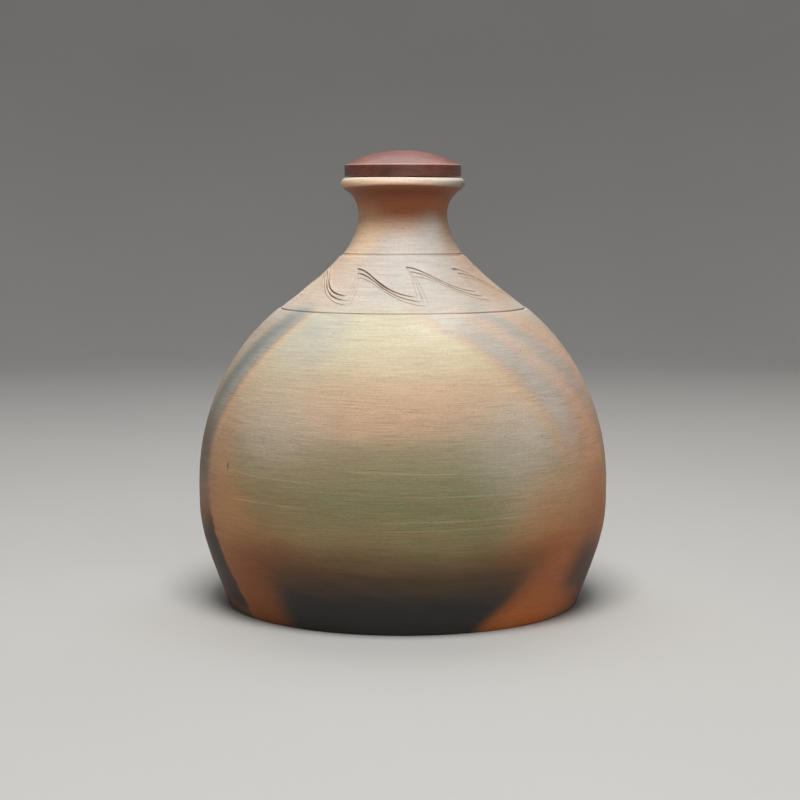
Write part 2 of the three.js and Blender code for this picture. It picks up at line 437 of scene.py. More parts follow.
def band_mesh(bottle, theta):
    """The combed band as triangles that follow the comb's strokes."""
    o = bottle.outline
    low, high = bottle.band
    inner = (o.s >= low - 1) & (o.s <= high + 1)
    even = np.concatenate([[0], np.cumsum(np.diff(o.s[inner]) / o.r[inner][1:])])
    rng = np.random.default_rng(SEED + 2)

    def to_even(s):
        return np.interp(s, o.s[inner], even)

    def near_seam(points, reach):
        return np.abs(np.abs(points[:, 0]) - np.pi) * o.at(points[:, 1])[0] < reach

    lines = []
    for stroke in bottle.strokes:
        steps = np.hypot(np.diff(stroke[:, 0]) * o.at(stroke[1:, 1])[0], np.diff(stroke[:, 1]))
        length = np.concatenate([[0], np.cumsum(steps)])
        at = np.arange(0, length[-1], 0.4)
        azimuth = np.interp(at, length, stroke[:, 0])
        s = np.interp(at, length, stroke[:, 1])
        radius = o.at(s)[0]
        along = np.stack([np.gradient(azimuth) * radius, np.gradient(s)], -1)
        along /= np.linalg.norm(along, axis=1, keepdims=True)
        lines.append((azimuth, s, radius, along))
    # the middles of the strokes come first, as later points too near them are dropped
    strokes = []
    for offset in (0, -0.15, 0.15, -0.29, 0.29, -0.44, 0.44, -0.66, 0.66):
        for azimuth, s, radius, along in lines:
            strokes.append(
                np.stack([azimuth - along[:, 1] * offset / radius, s + along[:, 0] * offset], -1)
            )
    strokes = np.concatenate(strokes)
    strokes[:, 0] = wrapped(strokes[:, 0])
    keep = (strokes[:, 1] > low + 0.3) & (strokes[:, 1] < high - 0.3)
    strokes = strokes[keep & ~near_seam(strokes, 0.35)]

    rows = spaced(low, high, 1.8)[1:-1]
    filling = np.array([(a, s) for s in rows for a in theta])
    filling[:, 0] += rng.uniform(-0.006, 0.006, len(filling))
    filling[:, 1] += rng.uniform(-0.3, 0.3, len(filling))
    filling[:, 0] = wrapped(filling[:, 0])
    filling = filling[~near_seam(filling, 0.8)]

    cell = 0.1 / 40
    loose = np.concatenate([strokes, filling])
    spots = np.floor(np.stack([loose[:, 0], to_even(loose[:, 1])], -1) / cell).astype(int)
    _, first = np.unique(spots, axis=0, return_index=True)
    loose = loose[np.sort(first)]

    edge = np.concatenate([theta, [np.pi]])
    seam = spaced(low, high, 0.5)[1:-1]
    fixed = np.concatenate(
        [np.stack([edge, np.full_like(edge, s)], -1) for s in (low, high)]
        + [np.stack([np.full_like(seam, a), seam], -1) for a in (-np.pi, np.pi)]
    )
    points = np.concatenate([fixed, loose])
    flat = [Vector((a, e)) for a, e in zip(points[:, 0], to_even(points[:, 1]))]
    _, _, faces, original, _, _ = delaunay_2d_cdt(flat, [], [], 0, 1e-9)
    order = np.array([names[0] for names in original])
    points = points[order]
    return bottle.points(points[:, 0], points[:, 1], combed=True), [tuple(f) for f in faces]


def make_mesh(name, points, faces, merge=None):
    """A smooth-shaded object from points in millimetres. A fourth column, if there is
    one, is stored as how far each point is scored into the surface."""
    points = np.asarray(points, float)
    mesh = bpy.data.meshes.new(name)
    mesh.from_pydata((points[:, :3] * MM).tolist(), [], faces)
    if points.shape[1] == 4:
        scored = mesh.attributes.new("scored", "FLOAT", "POINT")
        scored.data.foreach_set("value", points[:, 3].astype(np.float32))
    if merge:
        work = bmesh.new()
        work.from_mesh(mesh)
        bmesh.ops.remove_doubles(work, verts=work.verts, dist=merge * MM)
        work.to_mesh(mesh)
        work.free()
    mesh.polygons.foreach_set("use_smooth", [True] * len(mesh.polygons))
    mesh.update()
    piece = bpy.data.objects.new(name, mesh)
    bpy.context.scene.collection.objects.link(piece)
    return piece


def make_bottle():
    bottle = Bottle()
    theta = np.linspace(-np.pi, np.pi, SEGMENTS, endpoint=False)
    points, faces = [], []

    def add(more_points, more_faces):
        start = sum(len(p) for p in points)
        points.append(more_points)
        faces.extend(tuple(int(v) + start for v in face) for face in more_faces)

    below, above = ring_lengths(bottle)
    for lengths in (below, above):
        s, a = np.meshgrid(lengths, theta, indexing="ij")
        add(bottle.points(a.ravel(), s.ravel()), grid(len(lengths), SEGMENTS))
    add(*band_mesh(bottle, theta))

    columns = np.arange(SEGMENTS)
    following = (columns + 1) % SEGMENTS
    centre = bottle.points(np.zeros(2), np.array([0.0, bottle.outline.length]))
    floor_ring = (len(below) + len(above) - 1) * SEGMENTS
    start = sum(len(p) for p in points)
    points.append(centre)
    faces.extend((start, int(k), int(j)) for j, k in zip(columns, following))
    faces.extend(
        (int(j) + floor_ring, int(k) + floor_ring, start + 1) for j, k in zip(columns, following)
    )
    return make_mesh("bottle", np.concatenate(points), faces, merge=0.002)


# ----------------------------------------------------------------- turned pieces
def corner(point, before, after, radius):
    """A corner of an outline rounded off, with a support point on each side."""
    point, before, after = (np.array(p, float) for p in (point, before, after))
    if radius == 0:
        return [point]
    back = before - point
    on = after - point
    back /= np.linalg.norm(back)
    on /= np.linalg.norm(on)
    t = np.linspace(0, 1, 6)[:, None]
    start = point + back * radius
    stop = point + on * radius
    bend = (1 - t) ** 2 * start + 2 * t * (1 - t) * point + t**2 * stop
    return [point + back * radius * 1.5, *bend, point + on * radius * 1.5]


def outline_of(corners, closed=False):
    """An outline from (radius, height, rounding) corners."""
    places = [c[:2] for c in corners]
    points = []
    for i, (r, z, rounding) in enumerate(corners):
        first_or_last = i in (0, len(corners) - 1)
        rounding = 0 if first_or_last and not closed else rounding
        after = places[(i + 1) % len(places)]
        points += corner((r, z), places[i - 1], after, rounding)
    return np.array(points)


def make_turned(name, outline, segments, closed=False, relief=None):
    """A turned solid: an outline that starts and ends on the axis, or a closed one."""
    theta = np.linspace(-np.pi, np.pi, segments, endpoint=False)
    rings = outline if closed else outline[1:-1]
    r, a = np.meshgrid(rings[:, 0], theta, indexing="ij")
    z, _ = np.meshgrid(rings[:, 1], theta, indexing="ij")
    if relief:
        r = r + relief(a, r, z)
    points = np.stack([r * np.sin(a), -r * np.cos(a), z], -1).reshape(-1, 3)
    faces = [tuple(int(v) for v in quad) for quad in grid(len(rings), segments)]
    columns = [(j, (j + 1) % segments) for j in range(segments)]
    last = (len(rings) - 1) * segments
    if closed:
        faces += [(last + j, last + k, k, j) for j, k in columns]
    else:
        low, high = len(points), len(points) + 1
        ends = [(0, 0, outline[0][1]), (0, 0, outline[-1][1])]
        points = np.concatenate([points, ends])
        faces += [(low, k, j) for j, k in columns]
        faces += [(last + j, last + k, high) for j, k in columns]
    return make_mesh(name, points, faces)


def socket(top, bottom):
    """The hole for the dowel, from its blind end to its mouth or the other way."""
    return [(0, top, 0), (DOWEL_RADIUS + GLUE_GAP, top, 0.2), (DOWEL_RADIUS + GLUE_GAP, bottom, 0.3)]


def make_lid():
    """A shallow dome over a straight band, turned in one, with a crisp edge between."""
    underside, top = CAP_LOW.z, CAP_HIGH.z
    rise = top - LID_BAND_TOP
    dome_radius = (LID_RADIUS**2 + rise**2) / (2 * rise)
    edge = math.degrees(math.acos((LID_RADIUS - 0.12) / dome_radius))
    dome = arc((0, top - dome_radius), dome_radius, edge + 0.5, 90, 44)
    lower = outline_of(
        [
            *socket(DOWEL_HIGH.z + GLUE_GAP, underside),
            (PLUG_RADIUS + 0.6, underside, 0.3),
            (PLUG_RADIUS + 1.4, underside + 0.5, 0.3),
            (LID_RADIUS - 2.6, underside + 0.5, 0.3),
            (LID_RADIUS - 2.2, underside, 0.2),
            (LID_RADIUS, underside, 0.45),
            (LID_RADIUS, LID_BAND_TOP, 0),
        ]
    )[:-1]
    band_edge = corner((LID_RADIUS, LID_BAND_TOP), (LID_RADIUS, underside), dome[0], 0.16)
    return make_turned("lid", np.concatenate([lower, band_edge, dome]), 192)


def make_plug():
    """The stopper's core, with a turned seat for each ring."""
    low, high = PLUG_LOW.z, PLUG_HIGH.z
    corners = [(0, low, 0), (PLUG_RADIUS - 1.2, low, 0.25), (PLUG_RADIUS, low + 1.2, 0.3)]
    for height in RING_HEIGHTS:
        corners += [
            (PLUG_RADIUS, height - RING_SEAT_HALF_HEIGHT, 0.15),
            (RING_SEAT_RADIUS, height - RING_SEAT_HALF_HEIGHT, 0.15),
            (RING_SEAT_RADIUS, height + RING_SEAT_HALF_HEIGHT, 0.15),
            (PLUG_RADIUS, height + RING_SEAT_HALF_HEIGHT, 0.15),
        ]
    corners += [(PLUG_RADIUS, high, 0.3), *reversed(socket(DOWEL_LOW.z - GLUE_GAP, high))]
    return make_turned("stopper_core", outline_of(corners), 128)


def make_ring(name, low, high):
    """A squeezed silicone ring: flat where it seats, rounded where it seals."""
    middle = (low.z + high.z) / 2
    half = (high.z - low.z) / 2
    corners = [
        (RING_INNER_RADIUS, middle - half, 0.2),
        (high.x - 0.5, middle - half, 0.3),
        (high.x, middle - 0.45, 0.35),
        (high.x, middle + 0.45, 0.35),
        (high.x - 0.5, middle + half, 0.3),
        (RING_INNER_RADIUS, middle + half, 0.2),
    ]
    return make_turned(name, outline_of(corners, closed=True), 160, closed=True)


def make_dowel():
    """A fluted dowel: its grooves let the glue out."""
    low, high = DOWEL_LOW.z, DOWEL_HIGH.z
    corners = [
        (0, low, 0),
        (DOWEL_RADIUS - 0.5, low, 0.15),
        (DOWEL_RADIUS, low + 0.5, 0.2),
        (DOWEL_RADIUS, high - 0.5, 0.2),
        (DOWEL_RADIUS - 0.5, high, 0.15),
        (0, high, 0),
    ]

    def flutes(azimuth, r, z):
        along = np.clip(np.minimum(z - low, high - z) / 1.5, 0, 1)
        return -0.18 * along * np.clip(np.cos(20 * azimuth), 0, 1) ** 2

    return make_turned("dowel", outline_of(corners), 160, relief=flutes)


# ================================================================ material nodes
class Field:
    """A value that varies over a surface; arithmetic on it adds nodes."""

    def __init__(self, tree, socket):
        self.tree = tree
        self.socket = socket

    def maths(self, operation, *values):
        node = self.tree.nodes.new("ShaderNodeMath")
        node.operation = operation
        for socket, value in zip(node.inputs, values):
            put(self.tree, value, socket)
        return Field(self.tree, node.outputs[0])

    def __add__(self, other):
        return self.maths("ADD", self, other)

    def __sub__(self, other):
        return self.maths("SUBTRACT", self, other)

    def __rsub__(self, other):
        return self.maths("SUBTRACT", other, self)

    def __mul__(self, other):
        return self.maths("MULTIPLY", self, other)

    def __truediv__(self, other):
        return self.maths("DIVIDE", self, other)

    def __pow__(self, other):
        return self.maths("POWER", self, other)

    __radd__ = __add__
    __rmul__ = __mul__

    def least(self, other):
        return self.maths("MINIMUM", self, other)

    def size(self):
        return self.maths("ABSOLUTE", self)

    def wrap(self, low, high):
        return self.maths("WRAP", self, high, low)


def put(tree, value, socket):
    """Links a field to a socket, or sets the socket's own value."""
    if isinstance(value, Field):
        tree.links.new(value.socket, socket)
    else:
        socket.default_value = value


def paint(red, green, blue, brightness=1.0):
    """A colour from its 0 to 255 parts."""
    parts = [c / 255 for c in (red, green, blue)]
    linear = [c / 12.92 if c <= 0.04045 else ((c + 0.055) / 1.055) ** 2.4 for c in parts]
    return (*(min(1.0, c * brightness) for c in linear), 1.0)


class Finish:
    """One material, with its coordinates in millimetres round the object's own axis."""

    def __init__(self, name):
        self.material = bpy.data.materials.new(name)
        self.material.use_nodes = True
        self.tree = self.material.node_tree
        self.shader = self.tree.nodes["Principled BSDF"]
        place = self.tree.nodes.new("ShaderNodeTexCoord")
        self.place = self._vector("SCALE", Field(self.tree, place.outputs["Object"]), 1 / MM)
        split = self.tree.nodes.new("ShaderNodeSeparateXYZ")
        put(self.tree, self.place, split.inputs[0])
        self.x, self.y, self.z = (Field(self.tree, out) for out in split.outputs)

    def _vector(self, operation, field, value):
        node = self.tree.nodes.new("ShaderNodeVectorMath")
        node.operation = operation
        put(self.tree, field, node.inputs[0])
        put(self.tree, value, node.inputs["Scale" if operation == "SCALE" else 1])
        return Field(self.tree, node.outputs[0])

    def azimuth(self):
        """Degrees round from the front."""
        turn = self.x.maths("ARCTAN2", self.x, self.y * -1)
        return turn * math.degrees(1)

    def radius(self):
        return (self.x * self.x + self.y * self.y) ** 0.5

    def leaning(self, slope):
        """The place, with lines that were level falling towards +X."""
        node = self.tree.nodes.new("ShaderNodeCombineXYZ")
        for part, socket in zip((self.x, self.y, self.z + self.x * slope), node.inputs):
            put(self.tree, part, socket)
        return Field(self.tree, node.outputs[0])

    def noise(self, per_mm, detail=2, rough=0.5, shift=0.0, twist=0.0, place=None):
        """Smooth noise from about -1 to 1, so many times a millimetre on each axis."""
        steps = per_mm if isinstance(per_mm, tuple) else (per_mm,) * 3
        at = self._vector("MULTIPLY", place or self.place, steps)
        at = self._vector("ADD", at, (shift, shift * 0.7, shift * 1.3))
        node = self.tree.nodes.new("ShaderNodeTexNoise")
        put(self.tree, at, node.inputs["Vector"])
        node.inputs["Scale"].default_value = 1
        node.inputs["Detail"].default_value = detail
        node.inputs["Roughness"].default_value = rough
        node.inputs["Distortion"].default_value = twist
        return (Field(self.tree, node.outputs[0]) - 0.5) * 2

    def specks(self, per_mm, shift=0.0):
        """Distance to the nearest of scattered points, and that point's own number."""
        at = self._vector("SCALE", self.place, per_mm)
        at = self._vector("ADD", at, (shift, shift, shift))
        node = self.tree.nodes.new("ShaderNodeTexVoronoi")
        put(self.tree, at, node.inputs["Vector"])
        node.inputs["Scale"].default_value = 1
        number = self.tree.nodes.new("ShaderNodeSeparateColor")
        self.tree.links.new(node.outputs["Color"], number.inputs[0])
        return Field(self.tree, node.outputs["Distance"]), Field(self.tree, number.outputs[0])

    def step(self, low, high, field):
        """0 below low, 1 above high, eased between; low may be the larger."""
        node = self.tree.nodes.new("ShaderNodeMapRange")
        node.interpolation_type = "SMOOTHSTEP"
        put(self.tree, field, node.inputs["Value"])
        backwards = low > high
        node.inputs["From Min"].default_value = high if backwards else low
        node.inputs["From Max"].default_value = low if backwards else high
        result = Field(self.tree, node.outputs[0])
        return 1 - result if backwards else result

    def ramp(self, field, stops):
        """A colour that goes from stop to stop as the field grows."""
        first, last = stops[0][0], stops[-1][0]
        node = self.tree.nodes.new("ShaderNodeValToRGB")
        put(self.tree, (field - first) / (last - first), node.inputs[0])
        band = node.color_ramp
        band.interpolation = "LINEAR"
        while len(band.elements) < len(stops):
            band.elements.new(0.5)
        for element, (place, colour) in zip(band.elements, stops):
            element.position = (place - first) / (last - first)
        for element, (place, colour) in zip(band.elements, stops):
            element.color = colour
        return Field(self.tree, node.outputs[0])

    def curve(self, field, points):
        """A number that goes from point to point as the field grows."""
        values = [value for _, value in points]
        low, high = min(values), max(values)
        greys = [(p, (*((v - low) / (high - low),) * 3, 1)) for p, v in points]
        return self.ramp(field, greys) * (high - low) + low

    def mix(self, under, over, amount):
        """over laid on under by an amount from 0 to 1."""
        node = self.tree.nodes.new("ShaderNodeMix")
        node.data_type = "RGBA"
        put(self.tree, amount, node.inputs["Factor"])
        put(self.tree, under, node.inputs[6])
        put(self.tree, over, node.inputs[7])
        return Field(self.tree, node.outputs[2])

    def brighten(self, colour, factor):
        return self._vector("SCALE", colour, factor)

    def attribute(self, name):
        node = self.tree.nodes.new("ShaderNodeAttribute")
        node.attribute_name = name
        return Field(self.tree, node.outputs["Fac"])

    def finish(self, colour, rough, height, **constants):
        """Connects the colour, roughness and height in millimetres."""
        put(self.tree, colour, self.shader.inputs["Base Color"])
        put(self.tree, rough, self.shader.inputs["Roughness"])
        bump = self.tree.nodes.new("ShaderNodeBump")
        bump.inputs["Distance"].default_value = MM
        bump.inputs["Strength"].default_value = 1
        put(self.tree, height, bump.inputs["Height"])
        self.tree.links.new(bump.outputs[0], self.shader.inputs["Normal"])
        for name, value in constants.items():
            self.shader.inputs[name.replace("_", " ")].default_value = value
        return self.material


def stoneware():
    """Wood-fired clay: pale where the flame reached, charred at the foot, with the
    rings of pink and blue-grey that a fire leaves round a bloom."""
    f = Finish("fired_stoneware")
    shine = 1.25

    def clay(r, g, b):
        return paint(r, g, b, shine)

    leaning = f.leaning(0.1)
    cloud = f.noise(0.022, detail=3, rough=0.55, shift=3.1)
    cloud_2 = f.noise(0.03, detail=3, rough=0.55, shift=11.7)
    smear = f.noise((0.03, 0.03, 0.22), detail=4, rough=0.6, shift=5.0, place=leaning)
    streak = f.noise((0.08, 0.08, 0.9), detail=4, rough=0.65, shift=9.0)
    turned = f.noise((0.09, 0.09, 1.9), detail=4, rough=0.72, shift=14.0)
    smudge = f.noise((0.045, 0.045, 0.3), detail=4, rough=0.62, shift=41.0, place=leaning)
    grain = f.noise(0.9, detail=5, rough=0.75, shift=2.0)
    turn = f.azimuth() + cloud * 2.2 + smear * 1.3 + grain * 0.6
    z = f.z + cloud_2 * 2.4 + smear * 3.0 + streak * 0.8

    def blob(centre_turn, centre_z, half_turn, half_z, soft):
        across = (turn - centre_turn) / half_turn
        up = (z - centre_z) / half_z
        reach = (across * across + up * up) ** 0.5
        return f.step(1 + soft, 1 - soft, reach)

    def bell(field, centre, half):
        t = (field - centre) / half
        return f.step(1, 0, t.size())

    def tint(r, g, b, amount):
        nonlocal colour
        colour = f.mix(colour, clay(r, g, b), amount)

    # the clay away from the blooms
    colour = f.ramp(
        z,
        [
            (0, clay(92, 56, 40)),
            (14, clay(92, 66, 52)),
            (35, clay(118, 88, 68)),
            (60, clay(136, 118, 100)),
            (85, clay(144, 128, 110)),
            (112, clay(156, 147, 134)),
            (122, clay(172, 165, 155)),
            (136, clay(174, 167, 160)),
            (146, clay(175, 165, 156)),
            (153, clay(182, 156, 134)),
            # from 160 up, under the lip, the darker brown is partly the clay's own colour and partly painted
            # shadow of the lip
            (160, clay(160, 106, 72)),
            (169, clay(140, 84, 56)),
        ],
    )
    warm = f.step(-0.35, 0.6, f.noise(0.016, detail=2, shift=21.0))
    tint(186, 138, 104, warm * f.step(20, 60, z) * f.step(122, 112, z) * 0.3)

    # a second, smaller bloom behind
    back = (f.azimuth() - 172).wrap(-180, 180) + cloud * 13 + smear * 3
    drift = f.noise(0.012, detail=2, rough=0.5, shift=52.0)
    reach = ((back / 50) ** 2 + ((z - 50 + drift * 16) / 66) ** 2) ** 0.5 + cloud_2 * 0.07
    reach = reach.least(back.size() / 58 + f.step(10, 40, z) * 2)
    behind = f.step(1.1, 0.92, reach)
    back_colour = f.ramp(
        z + drift * 14,
        [
            (0, clay(54, 44, 38)),
            (14, clay(84, 54, 38)),
            (26, clay(132, 80, 46)),
            (45, clay(146, 118, 84)),
            (62, clay(146, 130, 104)),
            (82, clay(168, 146, 122)),
            (110, clay(178, 168, 144)),
        ],
    )
    tint(128, 132, 130, bell(reach, 1.22, 0.2) * f.step(30, 60, z) * (0.5 + drift * 0.4))
    colour = f.mix(colour, back_colour, behind)
    tint(184, 140, 110, bell(reach, 1.01, 0.07) * f.step(20, 50, z) * (0.32 + cloud * 0.3))
    tint(112, 110, 82, behind * f.step(0.1, 0.7, drift) * f.step(24, 40, z) * f.step(74, 54, z) * 0.6)

    # the front bloom: how many degrees inside its left and right edges
    left_edge = f.curve(
        z, [(0, -54), (30, -62), (55, -67.5), (70, -66.5), (93, -58), (107, -51), (119, -43)]
    )
    right_edge = f.curve(z, [(0, 66), (30, 62), (60, 52), (80, 45), (95, 37), (108, 25), (119, 7)])
    in_left = turn - left_edge
    in_right = right_edge - turn
    high = f.step(126, 116, z)
    upper = f.step(50, 85, z) * high
    bloom = f.ramp(
        z,
        [
            (0, clay(122, 64, 27)),
            (12, clay(124, 68, 31)),
            (26, clay(136, 86, 47)),
            (40, clay(146, 110, 74)),
            (54, clay(140, 124, 94)),
            (70, clay(144, 128, 102)),
            (82, clay(168, 146, 122)),
            (95, clay(176, 157, 130)),
            (108, clay(180, 170, 142)),
            (120, clay(178, 170, 146)),
        ],
    )
    inside = f.step(-1.5, 1.5, in_left) * f.step(-3, 5, in_right) * high

    # rings outside it: blue-grey on the left, blue-grey, pink and grey on the right
    ash = 1 + streak * 0.2 + smear * 0.2
    tint(124, 130, 127, bell(in_left, -9, 12) * f.step(58, 96, z) * high * ash * 0.85)
    tint(98, 96, 90, bell(in_left, -12, 7) * f.step(60, 90, z) * f.step(121, 104, z) * ash * 0.5)
    tint(162, 156, 150, bell(in_right, -8, 11) * upper * ash * 0.65)
    tint(184, 158, 140, bell(in_right, -19, 11) * f.step(30, 60, z) * high * 0.6)
    tint(152, 146, 140, bell(in_right, -30, 13) * f.step(62, 84, z) * high * ash * 0.6)
    tint(186, 152, 132, bell(in_right, -44, 14) * f.step(50, 80, z) * high * 0.5)
    colour = f.mix(colour, bloom, inside)

    # colours inside it
    tint(160, 160, 154, blob(-35, 112, 13, 13, 0.9) * inside * 0.6)
    tint(180, 140, 108, blob(6, 85, 34, 11, 0.7) * inside * 0.45)
    tint(146, 144, 128, blob(30, 68, 18, 15, 0.9) * inside * 0.5)
    tint(110, 110, 76, blob(8, 47, 40, 20, 0.8) * inside * (0.78 + smear * 0.35 + streak * 0.12))
    tint(180, 168, 154, blob(39, 73, 14, 24, 0.9) * f.step(96, 84, z) * 0.5)
    tint(176, 164, 148, blob(-38, 79, 13, 13, 0.9) * inside * 0.5)
    tint(182, 140, 106, blob(-60, 62, 7, 18, 0.9) * inside * 0.6)
    tint(198, 190, 176, blob(15, 116, 10, 5, 0.9) * 0.5)
    tint(160, 136, 114, blob(60, 114, 8, 7, 0.9) * 0.4)
    olive = blob(4, 47, 48, 24, 0.7) * inside
    tint(140, 106, 74, olive * f.step(0.05, 0.6, smudge) * 0.5)
    tint(96, 98, 78, olive * f.step(-0.1, -0.6, smudge) * 0.45)
    tint(172, 126, 80, blob(-56, 43, 11, 17, 0.7) * inside * 0.7)
    tint(172, 134, 96, blob(46, 47, 13, 14, 0.9) * 0.75)

    # its edge, pink above and orange below
    line = f.ramp(
        z,
        [
            (0, clay(178, 92, 48)),
            (35, clay(176, 104, 62)),
            (70, clay(188, 146, 114)),
            (119, clay(190, 158, 130)),
        ],
    )
    colour = f.mix(colour, line, bell(in_left, 0.5, 3.4) * high * 0.5)
    colour = f.mix(colour, line, bell(in_right, 0.5, 6) * f.step(55, 75, z) * high * 0.32)

    # right flank and foot
    tint(190, 138, 100, blob(66, 60, 12, 22, 0.9) * 0.7)
    tint(160, 98, 54, blob(70, 40, 10, 17, 0.9) * 0.75)
    tint(136, 74, 32, blob(-46, 12, 16, 20, 0.6) * 0.8)
    tint(156, 88, 42, blob(47, 20, 16, 22, 0.7) * 0.85)
    tint(56, 40, 32, blob(66, 16, 11, 15, 0.6) * 0.8)
    tint(178, 98, 46, blob(42, 1, 24, 10, 0.7) * 0.85)

    # soot and char at the front of the foot
    in_char = (22 + z * 0.7 - turn).least(turn * 0.6 + 22 + z * 0.1)
    soot = f.step(-10, 8, in_char) * f.step(40, 20, z + cloud * 3)
    tint(63, 55, 39, soot * 0.75)
    char = f.step(-3, 3, in_char) * f.step(27, 9, z + cloud * 3)
    tint(36, 39, 40, char * 0.92)
    lens = f.step(0, -2, in_left) * f.step(-22, -6, in_left) * f.step(50, 30, z)
    tint(42, 29, 19, lens * 0.9)
    side = f.step(-63, -72, turn) * f.step(-98, -84, turn)
    tint(92, 80, 66, side * f.step(50, 58, z) * f.step(84, 70, z) * 0.6)
    tint(150, 100, 62, side * f.step(28, 38, z) * f.step(54, 43, z) * 0.45)

    flank = (turn.size() - 62).size()
    tint(150, 112, 86, f.step(16, 6, flank) * f.step(6.5, 1.5, f.z) * 0.4)

    # the shoulder band and the neck
    tint(194, 162, 132, blob(-62, 138, 30, 22, 0.9) * f.step(118, 124, z) * 0.5)
    tint(158, 148, 138, blob(49, 129, 22, 13, 0.9) * f.step(118, 124, z) * 0.8)
    tint(214, 172, 132, blob(-66, 155, 34, 10, 0.9) * 0.7)
    tint(166, 162, 156, blob(36, 149, 18, 9, 0.8) * 0.8)
    tint(154, 124, 98, blob(74, 148, 26, 11, 0.9) * 0.75)
    tint(164, 136, 112, blob(74, 129, 26, 13, 0.9) * f.step(118, 124, z) * 0.75)
    tint(222, 192, 162, blob(-54, 149.5, 20, 6, 0.9) * 0.55)
    tint(194, 180, 168, blob(42, 152, 16, 5, 0.9) * 0.6)
    tint(184, 154, 128, blob(66, 152, 12, 5, 0.9) * 0.5)
    # painted shadow of the lip over the top of the neck, its lower edge drooping at the front; the brown
    # there is partly the clay's own colour and partly painted shade
    lip_shadow_edge = 157.8 - bell(turn, 6, 60) * 3.2
    under_lip_shadow_and_brown = f.step(-7, 7, z - lip_shadow_edge) * f.step(170.2, 166, f.z)
    tint(140, 74, 36, under_lip_shadow_and_brown * 0.85)
    tint(92, 46, 22, f.step(160, 166, f.z) * under_lip_shadow_and_brown * 0.75)
    hollow = 167.5 + bell(turn, 0, 70) * 0.95 + cloud * 0.2
    above = f.z - hollow
    rim = f.ramp(
        turn,
        [
            (-90, clay(196, 158, 128)),
            (-50, clay(206, 172, 144)),
            (10, clay(206, 180, 158)),
            (45, clay(170, 160, 146)),
            (75, clay(122, 122, 114)),
            (110, clay(150, 140, 126)),
            (180, clay(180, 152, 128)),
        ],
    )
    colour = f.mix(colour, rim, f.step(-0.3, 0.9, above) * 0.92)
    # painted highlight along the top of the lip
    tint(204, 190, 176, f.step(169.9, 171.1, f.z) * 0.75)

    # inside and underside
    radius = f.radius()
    tint(112, 74, 52, f.step(16.5, 14.5, radius) * f.step(1, 4, f.z))
    under = f.step(71.4, 70.2, radius) * f.step(3, 2, f.z)
    base = f.ramp(
        radius + cloud * 22 + cloud_2 * 10,
        [
            (0, clay(158, 122, 92)),
            (38, clay(150, 108, 78)),
            (58, clay(122, 82, 58)),
            (72, clay(74, 56, 45)),
        ],
    )
    colour = f.mix(colour, base, under)

    # fine streaks, specks, and the comb's dark lines, which are painted shade in its grooves
    grit = f.noise(2.2, detail=2, rough=0.6, shift=30.0)
    bare = 1 + smear * 0.07 + streak * 0.14 + turned * 0.3 + grain * 0.2 + grit * 0.17
    colour = f.brighten(colour, bare)
    pale_line = f.step(0.3, 0.9, streak + turned * 0.5)
    tint(196, 164, 132, pale_line * f.step(24, 60, z) * 0.22)
    around = f.azimuth()
    scratches = np.random.default_rng(SEED + 3)
    for _ in range(SCRATCHES):
        left = float(scratches.uniform(-58, 22))
        right = left + float(scratches.uniform(12, 46))
        start = float(scratches.uniform(36, 80))
        fall = float(scratches.uniform(-0.03, 0.06))
        off = (f.z - (start - (around - left) * fall)).size()
        span = f.step(left - 4, left + 6, around) * f.step(right + 6, right - 8, around)
        scratch = f.step(0.42, 0.12, off + grain * 0.16) * span
        colour = f.mix(colour, f.brighten(colour, 1.4), scratch * 0.6)
    chip = f.step(1.3, 0.7, (((around - 72) * 1.45) ** 2 + (f.z - 62) ** 2) ** 0.5 + grain * 0.4)
    tint(214, 134, 82, chip * 0.9)
    nick = f.step(1.2, 0.5, (((around + 55) * 1.9) ** 2 + ((f.z - 61) * 0.5) ** 2) ** 0.5 + grain * 0.5)
    tint(88, 76, 66, nick * 0.7)
    near, number = f.specks(0.42, shift=4)
    speck = f.step(0.2, 0.06, near + grain * 0.06) * f.step(0.9, 0.94, number)
    tint(84, 64, 50, speck * 0.45)
    scored = f.attribute("scored")
    # painted shade in the comb's and turned grooves, darkest where they are cut deepest
    tint(116, 80, 56, f.step(0.04, 0.35, scored) * 0.55)
    tint(44, 30, 24, f.step(0.25, 0.75, scored) * 0.9)
    # painted highlight on the raised burrs beside the grooves
    tint(198, 176, 150, f.step(-0.04, -0.24, scored) * 0.55)

    rough = 0.62 + grain * 0.06 + cloud * 0.05 + streak * 0.03 + blob(-3, -2, 34, 30, 0.6) * 0.1
    rough = rough - f.step(140, 150, z) * 0.1
    near_pit, pit_number = f.specks(0.6, shift=17)
    pits = f.step(0.22, 0.05, near_pit) * f.step(0.72, 0.8, pit_number)
    height = turned * 0.075 + grain * 0.06 + streak * 0.04 + grit * 0.022 - pits * 0.06
    return f.finish(colour, rough, height, Specular_IOR_Level=0.42)


